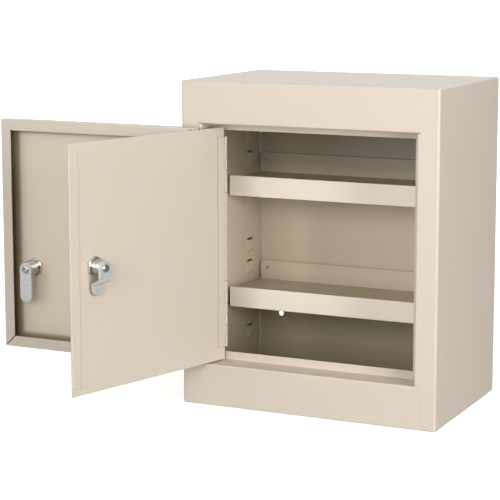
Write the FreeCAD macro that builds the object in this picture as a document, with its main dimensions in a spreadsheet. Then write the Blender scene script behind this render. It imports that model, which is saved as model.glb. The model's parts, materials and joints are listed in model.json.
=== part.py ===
import FreeCAD, Part
import math
import os

import Sketcher

# Driving sizes of the medicine cabinet in millimetres, with opening angles in degrees and counts.
# +X is the right side, +Y the back, +Z up; the origin is the middle of the cabinet's base.
SIZES = {
    # Cabinet box
    "cabinet_width": 304.8,
    "cabinet_depth": 203.2,
    "cabinet_height": 368.3,
    "sheet_gauge": 1.2,
    "corner_radius": 2.5,
    "bend_radius": 1.8,
    "plate_edge_round": 1.0,
    "rear_flange": 12.0,
    # Door window in the front, with its returns and stop lips
    "stile_width": 25.0,
    "rail_height": 47.6,
    "window_land": 4.0,
    "return_depth": 31.0,
    "stile_lip": 12.5,
    "rail_lip": 9.0,
    # Wall fixing holes in the back
    "wall_hole_diameter": 6.5,
    "wall_hole_inset": 31.4,
    "wall_hole_rise": 68.0,
    # Lanced shelf standards on the side walls
    "shelf_gauge": 1.0,
    "standard_depth": 98.0,
    "standard_clearance": 0.5,
    "lance_width": 17.0,
    "lance_height": 16.0,
    "lance_ramp": 5.0,
    "lance_stand_off": 3.2,
    "lance_setback": 171.6,
    "lance_pitch": 26.75,
    "lowest_lance_rise": 56.0,
    "lower_lance_count": 5,
    "upper_lance_count": 4,
    "tab_slot_width": 2.0,
    "tab_slot_length": 14.6,
    "tab_slot_depth": 9.5,
    # Shelves
    "shelf_setback": 109.6,
    "shelf_depth": 87.0,
    "shelf_end_gap": 4.6,
    "shelf_lip_height": 24.0,
    "shelf_lip_rise": 5.0,
    "shelf_upstand": 24.0,
    "upstand_corner": 6.0,
    "upstand_hole_diameter": 4.0,
    "upstand_hole_inset": 9.3,
    "upstand_hole_drop": 9.8,
    "tab_width": 13.0,
    "tab_drop": 7.5,
    "tab_reach": 3.0,
    "seat_clearance": 0.2,
    "lower_shelf_step_count": 2,
    "upper_shelf_step_count": 7,
    # Piano hinges
    "knuckle_radius": 2.4,
    "knuckle_length": 12.7,
    "knuckle_count": 19,
    "knuckle_play": 0.15,
    "knuckle_clearance": 0.3,
    "pin_radius": 1.2,
    "pin_clearance": 0.05,
    "leaf_gauge": 1.1,
    "leaf_reach": 14.5,
    # Outer door
    "outer_door_opening": 180.0,
    "outer_door_depth": 17.0,
    "outer_door_flange": 12.5,
    "outer_hinge_gap": 2.6,
    "outer_hinge_stand_off": 0.2,
    "outer_door_free_gap": 1.7,
    "outer_door_top_gap": 3.0,
    "outer_door_sill_gap": 1.1,
    "mitre_gap": 0.8,
    # Inner door
    "open_doors_clearance": 0.9,
    "inner_door_gauge": 0.9,
    "inner_hinge_lip_gap": 0.2,
    "inner_door_hinge_gap": 0.5,
    "inner_door_free_gap": 1.3,
    "inner_door_top_gap": 5.5,
    "inner_door_sill_gap": 1.4,
    "inner_hinge_drop": 10.6,
    "hem_width": 12.6,
    "hem_inset": 8.5,
    # Cam locks, alike on both doors but for their lengths and cams
    "lock_bezel_radius": 11.0,
    "lock_bezel_height": 2.6,
    "lock_bezel_round": 1.2,
    "lock_barrel_radius": 8.0,
    "lock_hole_clearance": 0.15,
    "nut_flats": 20.0,
    "nut_height": 4.0,
    "nut_chamfer": 1.0,
    "plug_head_radius": 6.5,
    "plug_head_height": 2.0,
    "plug_radius": 5.0,
    "plug_clearance": 0.05,
    "keyway_length": 7.0,
    "keyway_width": 1.6,
    "keyway_depth": 8.0,
    "drive_width": 6.0,
    "cam_gauge": 2.0,
    "cam_head_round": 7.2,
    "cam_tip_round": 7.2,
    "screw_head_radius": 4.6,
    "screw_head_height": 2.2,
    "screw_head_round": 1.4,
    "screw_shank_radius": 1.9,
    "screw_length": 8.0,
    "screw_clearance": 0.1,
    "screw_recess_length": 5.2,
    "screw_recess_width": 1.0,
    "screw_recess_depth": 1.2,
    "outer_lock_height": 143.0,
    "outer_lock_inset": 32.5,
    "outer_lock_length": 19.7,
    "outer_cam_width": 15.5,
    "outer_cam_head": 7.8,
    "outer_cam_reach": 38.6,
    "strike_clearance": 1.2,
    "inner_lock_height": 184.0,
    "inner_lock_inset": 34.0,
    "inner_lock_length": 15.7,
    "inner_cam_width": 16.0,
    "inner_cam_head": 8.0,
    "inner_cam_reach": 30.4,
    "inner_cam_knee": 12.5,
    "inner_cam_toe": 17.5,
    "inner_cam_joggle": 11.0,
    # Length by which every cut runs past the metal
    "cut_overrun": 1.0,
}

# Shares of the sizes that they follow.
HEM_ROUND_SHARE = 0.9
INNER_BEND_SHARE = 0.5
OUTER_BEND_SHARE = 1.5
JOGGLE_WALL_SHARE = 0.8
STRIKE_SWEEP_SHARE = 0.55
MATCH_SHARE = 0.02

# Angles in degrees.
QUARTER_TURN = 90
HEX_HALF_ANGLE = 30
HEX_SIDE_SHARE = math.tan(math.radians(HEX_HALF_ANGLE))
HEX_CORNER_SHARE = 1 / math.cos(math.radians(HEX_HALF_ANGLE))

LEFT = -1
RIGHT = 1

os.makedirs("parts", exist_ok=True)
doc = FreeCAD.newDocument("MedicineCabinet")
sheet = doc.addObject("Spreadsheet::Sheet", "Sizes")
nodes = []


class Size:
    """A sheet size, or sizes added and scaled: a formula for the document, and its number."""

    def __init__(self, formula, value):
        self.formula = formula
        self.value = value

    def join(self, sign, other, value):
        text = other.formula if isinstance(other, Size) else repr(other)
        return Size("(" + self.formula + " " + sign + " " + text + ")", value)

    def __add__(self, other):
        return self.join("+", other, self.value + number(other))

    def __radd__(self, other):
        return self + other

    def __sub__(self, other):
        return self.join("-", other, self.value - number(other))

    def __mul__(self, other):
        return self.join("*", other, self.value * number(other))

    def __truediv__(self, other):
        return self.join("/", other, self.value / number(other))

    def __neg__(self):
        return self * -1


class SheetSizes:
    """Fills the spreadsheet and gives each of its cells as a Size under the cell's alias."""

    def __init__(self, values):
        for row, (alias, value) in enumerate(values.items(), 1):
            sheet.set("A%d" % row, alias)
            sheet.set("B%d" % row, str(value))
            sheet.setAlias("B%d" % row, alias)
            setattr(self, alias, Size("Sizes." + alias, value))
        doc.recompute()


def number(size):
    return size.value if isinstance(size, Size) else size


def bind(target, name, size):
    """Tie a property or constraint of the document to a formula of sheet sizes."""
    target.setExpression(name, size.formula)


# Sketches

def sketch_on(body, name, role, lift=None):
    """An empty sketch on one of the body's own origin planes, lifted along that plane's normal."""
    sketch = body.newObject("Sketcher::SketchObject", name)
    sketch.AttachmentSupport = (origin_feature(body, role), [""])
    sketch.MapMode = "FlatFace"
    if lift is not None:
        bind(sketch, "AttachmentOffset.Base.z", lift)
    return sketch


def origin_feature(body, role):
    return next(feature for feature in body.Origin.OriginFeatures if feature.Role == role)


def vector(point):
    return FreeCAD.Vector(number(point[0]), number(point[1]), 0)


def constrain(sketch, kind, geometry, position, size):
    """Add one measured constraint and tie it to its formula; zero needs no formula."""
    if position is None:
        index = sketch.addConstraint(Sketcher.Constraint(kind, geometry, float(number(size))))
    else:
        index = sketch.addConstraint(Sketcher.Constraint(kind, geometry, position, float(number(size))))
    if isinstance(size, Size):
        bind(sketch, "Constraints[%d]" % index, size)


def fix_point(sketch, geometry, position, point):
    constrain(sketch, "DistanceX", geometry, position, point[0])
    constrain(sketch, "DistanceY", geometry, position, point[1])


def heading(start, end):
    """Unit steps along x and y of a level or upright line."""
    return tuple((number(b) > number(a)) - (number(b) < number(a)) for a, b in zip(start[:2], end[:2]))


def step(point, radius, direction):
    """A point moved by the radius along a level or upright direction."""
    return tuple(value + radius * way if way else value for value, way in zip(point, direction))


def outline(sketch, corners):
    """A closed outline through the corners. A third size rounds a square corner to that radius."""
    count = len(corners)
    entries = []
    exits = []
    for i, corner in enumerate(corners):
        entry = corner[:2]
        leave = corner[:2]
        if len(corner) > 2:
            before = heading(corners[i - 1], corner)
            after = heading(corner, corners[(i + 1) % count])
            entry = step(corner[:2], corner[2], (-before[0], -before[1]))
            leave = step(corner[:2], corner[2], after)
        entries.append(entry)
        exits.append(leave)
    lines = []
    for i in range(count):
        start, end = exits[i], entries[(i + 1) % count]
        lines.append(sketch.addGeometry(Part.LineSegment(vector(start), vector(end))))
        fix_point(sketch, lines[-1], 1, start)
    for i, corner in enumerate(corners):
        if len(corner) == 2:
            sketch.addConstraint(Sketcher.Constraint("Coincident", lines[i - 1], 2, lines[i], 1))
        else:
            fix_point(sketch, lines[i - 1], 2, entries[i])
            bend(sketch, lines[i - 1], lines[i], corner, entries[i], exits[i])


def bend(sketch, line_in, line_out, corner, entry, leave):
    """The arc that rounds one square corner, from the end of one line to the start of the next."""
    centre = vector(entry) + vector(leave) - vector(corner)
    spoke_in = vector(entry) - centre
    spoke_out = vector(leave) - centre
    left_turn = spoke_in.cross(spoke_out).z > 0
    first, last = (spoke_in, spoke_out) if left_turn else (spoke_out, spoke_in)
    start = math.atan2(first.y, first.x)
    end = math.atan2(last.y, last.x)
    if end < start:
        end += 2 * math.pi
    ring = Part.Circle(centre, FreeCAD.Vector(0, 0, 1), number(corner[2]))
    arc = sketch.addGeometry(Part.ArcOfCircle(ring, start, end))
    sketch.addConstraint(Sketcher.Constraint("Coincident", arc, 1 if left_turn else 2, line_in, 2))
    sketch.addConstraint(Sketcher.Constraint("Coincident", arc, 2 if left_turn else 1, line_out, 1))
    constrain(sketch, "Radius", arc, None, corner[2])


def rectangle(sketch, low_x, high_x, low_y, high_y):
    outline(sketch, [(low_x, low_y), (high_x, low_y), (high_x, high_y), (low_x, high_y)])


def circle(sketch, x, y, radius):
    ring = sketch.addGeometry(Part.Circle(vector((x, y)), FreeCAD.Vector(0, 0, 1), number(radius)))
    fix_point(sketch, ring, 3, (x, y))
    constrain(sketch, "Radius", ring, None, radius)


# Features

def pad(body, sketch, length, symmetric=False, backwards=False):
    feature = body.newObject("PartDesign::Pad", sketch.Name + "Pad")
    feature.Profile = sketch
    bind(feature, "Length", length)
    feature.SideType = "Symmetric" if symmetric else "One side"
    feature.Reversed = backwards
    return feature


def pocket(body, sketch, depth, along_normal=False):
    """A cut against the sketch plane's normal, or along it."""
    feature = body.newObject("PartDesign::Pocket", sketch.Name + "Cut")
    feature.Profile = sketch
    bind(feature, "Length", depth)
    feature.Reversed = along_normal
    return feature


def turned(body, sketch, kind="PartDesign::Revolution"):
    """A full turn of the sketch about its upright axis, added to the body or cut from it."""
    feature = body.newObject(kind, sketch.Name + "Turned")
    feature.Profile = sketch
    feature.ReferenceAxis = (sketch, ["V_Axis"])
    return feature


def rounded(body, base, radius, chosen):
    """A fillet along those edges of the base feature that the test chooses."""
    doc.recompute()
    edges = base.Shape.Edges
    names = ["Edge%d" % (i + 1) for i, edge in enumerate(edges) if chosen(edge)]
    feature = body.newObject("PartDesign::Fillet", base.Name + "Round")
    feature.Base = (base, names)
    bind(feature, "Radius", radius)
    return feature


def row_upwards(body, originals, pitch, count):
    """Copies of the features in a row along +Z."""
    feature = body.newObject("PartDesign::LinearPattern", originals[0].Name + "Row")
    feature.Originals = originals
    feature.Direction = (origin_feature(body, "Z_Axis"), [""])
    feature.Mode = "Spacing"
    bind(feature, "Offset", pitch)
    bind(feature, "Occurrences", count)
    body.Tip = feature
    return feature


def mirrored(body, original):
    feature = body.newObject("PartDesign::Mirrored", original.Name + "Mirror")
    feature.Originals = [original]
    feature.MirrorPlane = (origin_feature(body, "YZ_Plane"), [""])
    body.Tip = feature
    return feature


def new_body(label, placement=None):
    body = doc.addObject("PartDesign::Body", label)
    body.Label = label
    if placement is not None:
        body.Placement = placement
    nodes.append(body)
    return body


def near(value, size):
    """True where a measured coordinate is the given size, whatever the scale of the part."""
    return abs(value - number(size)) < number(s.sheet_gauge) * MATCH_SHARE


def ends(edge):
    return [vertex.Point for vertex in edge.Vertexes]


# Places that several pieces share

s = SheetSizes(SIZES)

half_width = s.cabinet_width / 2
half_depth = s.cabinet_depth / 2
front = -half_depth
window_half = half_width - s.stile_width
window_top = s.cabinet_height - s.rail_height
lip_front = front + s.return_depth
wall_inside = half_width - s.sheet_gauge
back_inside = half_depth - s.sheet_gauge * 2
inner_bend = s.bend_radius - s.sheet_gauge

lance_y = front + s.lance_setback
lance_x = wall_inside - s.shelf_gauge
shelf_half = wall_inside - s.shelf_end_gap

hinge_length = s.knuckle_length * s.knuckle_count
pin_bore = s.pin_radius + s.pin_clearance

outer_axis_x = s.outer_hinge_gap / 2 - window_half
outer_axis_y = front - s.knuckle_radius - s.outer_hinge_stand_off
outer_face = s.knuckle_radius + s.outer_hinge_stand_off
outer_back = outer_face + s.outer_door_depth
outer_hinge_edge = s.outer_hinge_gap / 2
outer_free_edge = window_half * 2 - s.outer_hinge_gap / 2 - s.outer_door_free_gap
outer_low = s.rail_height + s.outer_door_sill_gap
outer_high = window_top - s.outer_door_top_gap
outer_hinge_low = (outer_low + outer_high - hinge_length) / 2

inner_axis_x = s.stile_lip + s.inner_hinge_lip_gap + s.knuckle_radius - window_half
inner_axis_y = lip_front - s.knuckle_radius
inner_back = s.knuckle_radius - s.leaf_gauge
inner_face = inner_back - s.inner_door_gauge
inner_hinge_edge = s.knuckle_radius + s.inner_door_hinge_gap
inner_free_edge = window_half - s.inner_door_free_gap - inner_axis_x
inner_low = s.rail_height + s.inner_door_sill_gap
inner_high = window_top - s.inner_door_top_gap
inner_hinge_low = inner_high - s.inner_hinge_drop - hinge_length

UP = FreeCAD.Vector(0, 0, 1)
LEVEL = FreeCAD.Vector(1, 0, 0)


def hinge_frame(axis_x, axis_y, opening=0):
    """The frame of a door: its origin on the hinge axis, swung open to the left by the opening angle."""
    return FreeCAD.Placement(vector((axis_x, axis_y)), FreeCAD.Rotation(UP, -number(opening)))


def lock_frame(door_frame, x, y, z):
    """The frame of a lock: z along the lock into the cabinet, x to the free edge, y downwards."""
    seat = FreeCAD.Vector(x.value, y.value, z.value)
    return door_frame * FreeCAD.Placement(seat, FreeCAD.Rotation(LEVEL, -QUARTER_TURN))


def inner_opening():
    """The inner door opens until it nears the outer hinge's knuckles or the open outer door's corner."""
    clearance = s.open_doors_clearance.value
    corner = outer_door.multVec(vector((outer_hinge_edge, outer_back)))
    at_knuckles = opening_past(outer_frame.Base, s.knuckle_radius.value + clearance)
    return min(at_knuckles, opening_past(corner, clearance))


def opening_past(obstacle, gap):
    """The angle at which the face of the inner door passes an obstacle's middle by the gap."""
    away = obstacle - inner_frame.Base
    lean = math.asin((gap - inner_face.value) / away.Length)
    return -math.degrees(math.atan2(away.y, away.x) + lean)


outer_frame = hinge_frame(outer_axis_x, outer_axis_y)
inner_frame = hinge_frame(inner_axis_x, inner_axis_y)
outer_door = hinge_frame(outer_axis_x, outer_axis_y, s.outer_door_opening)
inner_door = hinge_frame(inner_axis_x, inner_axis_y, inner_opening())
outer_lock = lock_frame(outer_door, outer_free_edge - s.outer_lock_inset, outer_face, s.outer_lock_height)
inner_lock = lock_frame(inner_door, inner_free_edge - s.inner_lock_inset, inner_face, s.inner_lock_height)


# Cabinet box

def folded_side(label, hand):
    """A side folded from one sheet: rear flange, wall and stile, then the window return and stop lip."""
    body = new_body(label)
    wall = sketch_on(body, label + "_wall", "XY_Plane", s.sheet_gauge)
    outline(wall, [
        ((window_half + s.window_land) * hand, front),
        (half_width * hand, front, s.corner_radius),
        (half_width * hand, half_depth, s.corner_radius),
        ((half_width - s.rear_flange) * hand, half_depth),
        ((half_width - s.rear_flange) * hand, half_depth - s.sheet_gauge),
        (wall_inside * hand, half_depth - s.sheet_gauge, s.corner_radius - s.sheet_gauge),
        (wall_inside * hand, front + s.sheet_gauge, s.corner_radius - s.sheet_gauge),
        ((window_half + s.window_land) * hand, front + s.sheet_gauge),
    ])
    pad(body, wall, s.cabinet_height - s.sheet_gauge * 2)
    jamb = sketch_on(body, label + "_jamb", "XY_Plane", s.rail_height)
    outline(jamb, [
        ((window_half + s.window_land) * hand, front),
        (window_half * hand, front, s.bend_radius),
        (window_half * hand, lip_front, inner_bend),
        ((window_half - s.stile_lip) * hand, lip_front),
        ((window_half - s.stile_lip) * hand, lip_front + s.sheet_gauge),
        ((window_half + s.sheet_gauge) * hand, lip_front + s.sheet_gauge, s.bend_radius),
        ((window_half + s.sheet_gauge) * hand, front + s.sheet_gauge, inner_bend),
        ((window_half + s.window_land) * hand, front + s.sheet_gauge),
    ])
    pad(body, jamb, window_top - s.rail_height)
    return body


def strike_slot(side):
    """The slot in the right return that the outer door's cam swings into from below."""
    slot = sketch_on(side, "strike_slot", "YZ_Plane", window_half - s.cut_overrun)
    cam_y = front + s.outer_lock_length
    rectangle(
        slot,
        cam_y - s.strike_clearance,
        cam_y + s.cam_gauge + s.strike_clearance,
        s.outer_lock_height - s.outer_cam_reach * STRIKE_SWEEP_SHARE,
        s.outer_lock_height + s.outer_cam_width / 2 + s.strike_clearance,
    )
    pocket(side, slot, s.sheet_gauge + s.cut_overrun * 2, along_normal=True)


def rail_panel(label, at_top):
    """The top with its header, or the bottom with its sill: plate, rail, return, stop lip, rear flange."""
    body = new_body(label)

    def height(inwards):
        return s.cabinet_height - inwards if at_top else inwards

    def outer_edge(edge):
        return all(near(p.z, height(0)) for p in ends(edge))

    plate = sketch_on(body, label + "_plate", "XY_Plane", height(s.sheet_gauge) if at_top else None)
    outline(plate, [
        (-half_width, front, s.corner_radius),
        (half_width, front, s.corner_radius),
        (half_width, half_depth, s.corner_radius),
        (-half_width, half_depth, s.corner_radius),
    ])
    plate_pad = pad(body, plate, s.sheet_gauge)
    rounded(body, plate_pad, s.plate_edge_round, outer_edge)
    rail = sketch_on(body, label + "_rail", "YZ_Plane")
    outline(rail, [
        (front, height(s.sheet_gauge)),
        (front, height(s.rail_height), s.bend_radius),
        (lip_front, height(s.rail_height)),
        (lip_front, height(s.rail_height - s.sheet_gauge)),
        (front + s.sheet_gauge, height(s.rail_height - s.sheet_gauge), inner_bend),
        (front + s.sheet_gauge, height(s.sheet_gauge)),
    ])
    pad(body, rail, (window_half + s.window_land) * 2, symmetric=True)
    lip = sketch_on(body, label + "_lip", "YZ_Plane")
    outline(lip, [
        (lip_front - s.bend_radius, height(s.rail_height)),
        (lip_front, height(s.rail_height), inner_bend),
        (lip_front, height(s.rail_height + s.rail_lip)),
        (lip_front + s.sheet_gauge, height(s.rail_height + s.rail_lip)),
        (lip_front + s.sheet_gauge, height(s.rail_height - s.sheet_gauge), s.bend_radius),
        (lip_front - s.bend_radius, height(s.rail_height - s.sheet_gauge)),
    ])
    pad(body, lip, (window_half - s.stile_lip) * 2, symmetric=True)
    flange = sketch_on(body, label + "_flange", "YZ_Plane")
    rectangle(flange, half_depth - s.sheet_gauge, half_depth, height(s.sheet_gauge), height(s.rear_flange))
    pad(body, flange, (half_width - s.rear_flange) * 2, symmetric=True)


def back_panel():
    """The back sheet inside the rear flanges, with a hole near each corner for wall screws."""
    body = new_body("back_panel")
    panel = sketch_on(body, "back_outline", "XZ_Plane", s.sheet_gauge - half_depth)
    reach = wall_inside - s.corner_radius
    rectangle(panel, -reach, reach, s.sheet_gauge, s.cabinet_height - s.sheet_gauge)
    for hand in (LEFT, RIGHT):
        for z in (s.wall_hole_rise, s.cabinet_height - s.wall_hole_rise):
            circle(panel, (half_width - s.wall_hole_inset) * hand, z, s.wall_hole_diameter / 2)
    pad(body, panel, s.sheet_gauge)


def shelf_standard(label, hand):
    """A liner plate on a side wall, with two rows of lances whose open tops take the shelf tabs."""
    body = new_body(label)
    plate = sketch_on(body, label + "_plate", "YZ_Plane", wall_inside * hand)
    rectangle(
        plate,
        back_inside - s.standard_clearance - s.standard_depth,
        back_inside - s.standard_clearance,
        s.sheet_gauge + s.standard_clearance,
        s.cabinet_height - s.sheet_gauge - s.standard_clearance,
    )
    pad(body, plate, s.shelf_gauge, backwards=hand == RIGHT)
    lance_row(body, hand, s.lowest_lance_rise, s.lower_lance_count)
    upper_rise = s.lowest_lance_rise + s.lance_pitch * (s.lower_lance_count + 1)
    lance_row(body, hand, upper_rise, s.upper_lance_count)


def lance_row(body, hand, lowest, count):
    """One row of lances: a pressed pocket with a ramped foot and a slot down into it from its top."""
    face = (lance_x - s.lance_stand_off) * hand
    bump = sketch_on(body, body.Label + "_lance", "XZ_Plane", -lance_y)
    outline(bump, [
        (lance_x * hand, lowest),
        (face, lowest),
        (face, lowest - s.lance_height + s.lance_ramp),
        (lance_x * hand, lowest - s.lance_height),
    ])
    bump_pad = pad(body, bump, s.lance_width, symmetric=True)
    slot = sketch_on(body, body.Label + "_slot", "XY_Plane", lowest)
    rectangle(
        slot,
        lance_x * hand,
        (lance_x - s.tab_slot_width) * hand,
        lance_y - s.tab_slot_length / 2,
        lance_y + s.tab_slot_length / 2,
    )
    slot_cut = pocket(body, slot, s.tab_slot_depth)
    row_upwards(body, [bump_pad, slot_cut], s.lance_pitch, count)


# Shelves

def shelf(label, steps):
    """A shelf folded from one sheet: hemmed front lip, floor, rear upstand, and a tab at each end."""
    rise = s.lowest_lance_rise + s.lance_pitch * steps + s.seat_clearance
    body = new_body(label, FreeCAD.Placement(UP * rise.value, FreeCAD.Rotation()))
    gauge = s.shelf_gauge
    lip_y = front + s.shelf_setback
    rear_y = lip_y + s.shelf_depth
    lip_top = gauge + s.shelf_lip_rise
    upstand_top = gauge + s.shelf_upstand
    section = sketch_on(body, label + "_section", "YZ_Plane")
    outline(section, [
        (lip_y, lip_top - s.shelf_lip_height),
        (lip_y, lip_top, gauge * HEM_ROUND_SHARE),
        (lip_y + gauge * 2, lip_top, gauge * HEM_ROUND_SHARE),
        (lip_y + gauge * 2, gauge, gauge * INNER_BEND_SHARE),
        (rear_y - gauge, gauge, gauge * INNER_BEND_SHARE),
        (rear_y - gauge, upstand_top),
        (rear_y, upstand_top),
        (rear_y, 0, gauge * OUTER_BEND_SHARE),
        (lip_y + gauge, 0),
        (lip_y + gauge, lip_top - s.shelf_lip_height),
    ])
    tray = pad(body, section, shelf_half * 2, symmetric=True)

    def upstand_corner(edge):
        at_corner = all(near(abs(p.x), shelf_half) and near(p.z, upstand_top) for p in ends(edge))
        return at_corner and near(edge.Length, gauge)

    rounded(body, tray, s.upstand_corner, upstand_corner)
    holes = sketch_on(body, label + "_holes", "XZ_Plane", gauge + s.cut_overrun - rear_y)
    for hand in (LEFT, RIGHT):
        hole_x = (shelf_half - s.upstand_hole_inset) * hand
        circle(holes, hole_x, upstand_top - s.upstand_hole_drop, s.upstand_hole_diameter / 2)
    pocket(body, holes, gauge + s.cut_overrun * 2)
    tab = sketch_on(body, label + "_tab", "XZ_Plane", -lance_y)
    tab_out = -(shelf_half + s.tab_reach)
    outline(tab, [
        (-shelf_half, 0),
        (-shelf_half, gauge),
        (tab_out, gauge, gauge * OUTER_BEND_SHARE),
        (tab_out, -s.tab_drop),
        (tab_out + gauge, -s.tab_drop),
        (tab_out + gauge, 0, gauge * INNER_BEND_SHARE),
    ])
    mirrored(body, pad(body, tab, s.tab_width, symmetric=True))


# Piano hinges

def hinge_leaf(label, frame, blade, low, first_cut, cuts):
    """A leaf with its rolled knuckles: a tube and a blade, with every other knuckle cut away."""
    body = new_body(label, frame)
    tube = sketch_on(body, label + "_tube", "XY_Plane", low)
    circle(tube, 0, 0, s.knuckle_radius)
    circle(tube, 0, 0, pin_bore)
    pad(body, tube, hinge_length)
    strip = sketch_on(body, label + "_blade", "XY_Plane", low)
    rectangle(strip, *blade)
    pad(body, strip, hinge_length)
    gap = sketch_on(body, label + "_gap", "XY_Plane", first_cut - s.knuckle_play)
    reach = s.knuckle_radius + s.knuckle_clearance
    rectangle(gap, -reach, reach, -reach, reach)
    gap_cut = pocket(body, gap, s.knuckle_length + s.knuckle_play * 2, along_normal=True)
    row_upwards(body, [gap_cut], s.knuckle_length * 2, cuts)


def hinge_pin(label, frame, low):
    pin = doc.addObject("Part::Cylinder", label)
    pin.Label = label
    bind(pin, "Radius", s.pin_radius)
    bind(pin, "Height", hinge_length)
    pin.Placement = frame * FreeCAD.Placement(UP * low.value, FreeCAD.Rotation())
    nodes.append(pin)


def piano_hinge(name, frame, door, frame_blade, door_blade, low):
    """Frame leaf, door leaf and pin. The frame leaf has the knuckles at both ends."""
    cuts = (s.knuckle_count - 1) / 2
    hinge_leaf(name + "_hinge_frame_leaf", frame, frame_blade, low, low + s.knuckle_length, cuts)
    hinge_leaf(name + "_hinge_door_leaf", door, door_blade, low, low, cuts + 1)
    hinge_pin(name + "_hinge_pin", frame, low)


def outer_hinge():
    """Its leaves lie face to face between the left return and the outer door's edge."""
    edge = s.outer_hinge_gap / 2
    root = (pin_bore + s.knuckle_radius) / 2
    frame_blade = (-edge, s.leaf_gauge - edge, root, s.leaf_reach)
    door_blade = (edge - s.leaf_gauge, edge, root, s.leaf_reach)
    piano_hinge("outer", outer_frame, outer_door, frame_blade, door_blade, outer_hinge_low)


def inner_hinge():
    """Its leaves lie flat, one on the left stop lip and one on the inside of the inner door."""
    frame_blade = (-s.leaf_reach, 0, inner_back, s.knuckle_radius)
    door_blade = (0, s.leaf_reach, inner_back, s.knuckle_radius)
    piano_hinge("inner", inner_frame, inner_door, frame_blade, door_blade, inner_hinge_low)


# Doors

def lock_hole(body, face, x, z, gauge):
    """The round hole for a lock barrel, through the door's sheet."""
    hole = sketch_on(body, body.Label + "_lock_hole", "XZ_Plane", s.cut_overrun - face)
    circle(hole, x, z, s.lock_barrel_radius + s.lock_hole_clearance)
    pocket(body, hole, gauge + s.cut_overrun * 2)


def outer_door_pan():
    """A pan: the face, four walls behind it and an inward flange whose corners meet in open mitres."""
    body = new_body("outer_door_pan", outer_door)
    gauge = s.sheet_gauge
    block = sketch_on(body, "pan_block", "XY_Plane", outer_low)
    rectangle(block, outer_hinge_edge, outer_free_edge, outer_face, outer_back)
    blank = pad(body, block, outer_high - outer_low)
    rounded(body, blank, s.bend_radius, lambda edge: all(near(p.y, outer_face) for p in ends(edge)))
    hollow = sketch_on(body, "pan_hollow", "XZ_Plane", -outer_back)
    pan_frame(hollow, gauge)
    pocket(body, hollow, s.outer_door_depth - gauge, along_normal=True)
    flange = sketch_on(body, "pan_flange", "XZ_Plane", -outer_back)
    pan_frame(flange, gauge)
    pan_frame(flange, s.outer_door_flange)
    pad(body, flange, gauge)
    mitres = sketch_on(body, "pan_mitres", "XZ_Plane", -(outer_back + s.cut_overrun))
    for x, inwards in ((outer_hinge_edge, 1), (outer_free_edge, -1)):
        for z, upwards in ((outer_low, 1), (outer_high, -1)):
            mitre(mitres, x, z, inwards, upwards)
    pocket(body, mitres, gauge + s.cut_overrun, along_normal=True)
    lock_hole(body, outer_face, outer_free_edge - s.outer_lock_inset, s.outer_lock_height, gauge)


def pan_frame(sketch, inset):
    """A rectangle inside the outer door's edges, by the same inset on every side."""
    low, high = outer_low + inset, outer_high - inset
    rectangle(sketch, outer_hinge_edge + inset, outer_free_edge - inset, low, high)


def mitre(sketch, x, z, inwards, upwards):
    """A narrow cut along the diagonal of one flange corner."""
    near_end = s.sheet_gauge
    far_end = s.outer_door_flange + s.cut_overrun
    outline(sketch, [
        (x + near_end * inwards, z + (near_end + s.mitre_gap) * upwards),
        (x + near_end * inwards, z + near_end * upwards),
        (x + (near_end + s.mitre_gap) * inwards, z + near_end * upwards),
        (x + far_end * inwards, z + (far_end - s.mitre_gap) * upwards),
        (x + far_end * inwards, z + far_end * upwards),
        (x + (far_end - s.mitre_gap) * inwards, z + far_end * upwards),
    ])


def inner_door_panel():
    """A flat sheet whose free edge is folded back on itself in a hem that stops short of the corners."""
    body = new_body("inner_door_panel", inner_door)
    gauge = s.inner_door_gauge
    sheet_outline = sketch_on(body, "inner_sheet", "XY_Plane", inner_low)
    rectangle(sheet_outline, inner_hinge_edge, inner_free_edge, inner_face, inner_back)
    pad(body, sheet_outline, inner_high - inner_low)
    hem = sketch_on(body, "inner_hem", "XY_Plane", inner_low + s.hem_inset)
    fold = inner_face + gauge * 2
    outline(hem, [
        (inner_free_edge - s.hem_width, inner_back),
        (inner_free_edge - gauge, inner_back),
        (inner_free_edge - gauge, inner_face),
        (inner_free_edge, inner_face),
        (inner_free_edge, fold, gauge * HEM_ROUND_SHARE),
        (inner_free_edge - s.hem_width, fold),
    ])
    pad(body, hem, inner_high - inner_low - s.hem_inset * 2)
    lock_hole(body, inner_face, inner_free_edge - s.inner_lock_inset, s.inner_lock_height, gauge)


# Cam locks

def lock_body(label, frame, length):
    """Bezel and barrel turned in one piece, bored for the plug."""
    body = new_body(label, frame)
    profile = sketch_on(body, label + "_profile", "XZ_Plane")
    head_bore = s.plug_head_radius + s.plug_clearance
    bore = s.plug_radius + s.plug_clearance
    step_z = s.plug_head_height - s.lock_bezel_height
    outline(profile, [
        (head_bore, -s.lock_bezel_height),
        (s.lock_bezel_radius, -s.lock_bezel_height, s.lock_bezel_round),
        (s.lock_bezel_radius, 0),
        (s.lock_barrel_radius, 0),
        (s.lock_barrel_radius, length),
        (bore, length),
        (bore, step_z),
        (head_bore, step_z),
    ])
    turned(body, profile)


def lock_nut(label, frame, seat):
    """A hexagon nut on the barrel against the door's inside, its outer corners turned off."""
    body = new_body(label, frame)
    hexagon = sketch_on(body, label + "_hexagon", "XY_Plane", seat)
    half = s.nut_flats / 2
    side = half * HEX_SIDE_SHARE
    corner = half * HEX_CORNER_SHARE
    outline(hexagon, [(half, -side), (half, side), (0, corner), (-half, side), (-half, -side), (0, -corner)])
    circle(hexagon, 0, 0, s.lock_barrel_radius + s.plug_clearance)
    pad(body, hexagon, s.nut_height)
    chamfer = sketch_on(body, label + "_chamfer", "XZ_Plane")
    top = seat + s.nut_height
    far = corner + s.nut_chamfer
    outline(chamfer, [(half, top), (far, top), (far, top - s.nut_chamfer)])
    turned(body, chamfer, "PartDesign::Groove")


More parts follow.
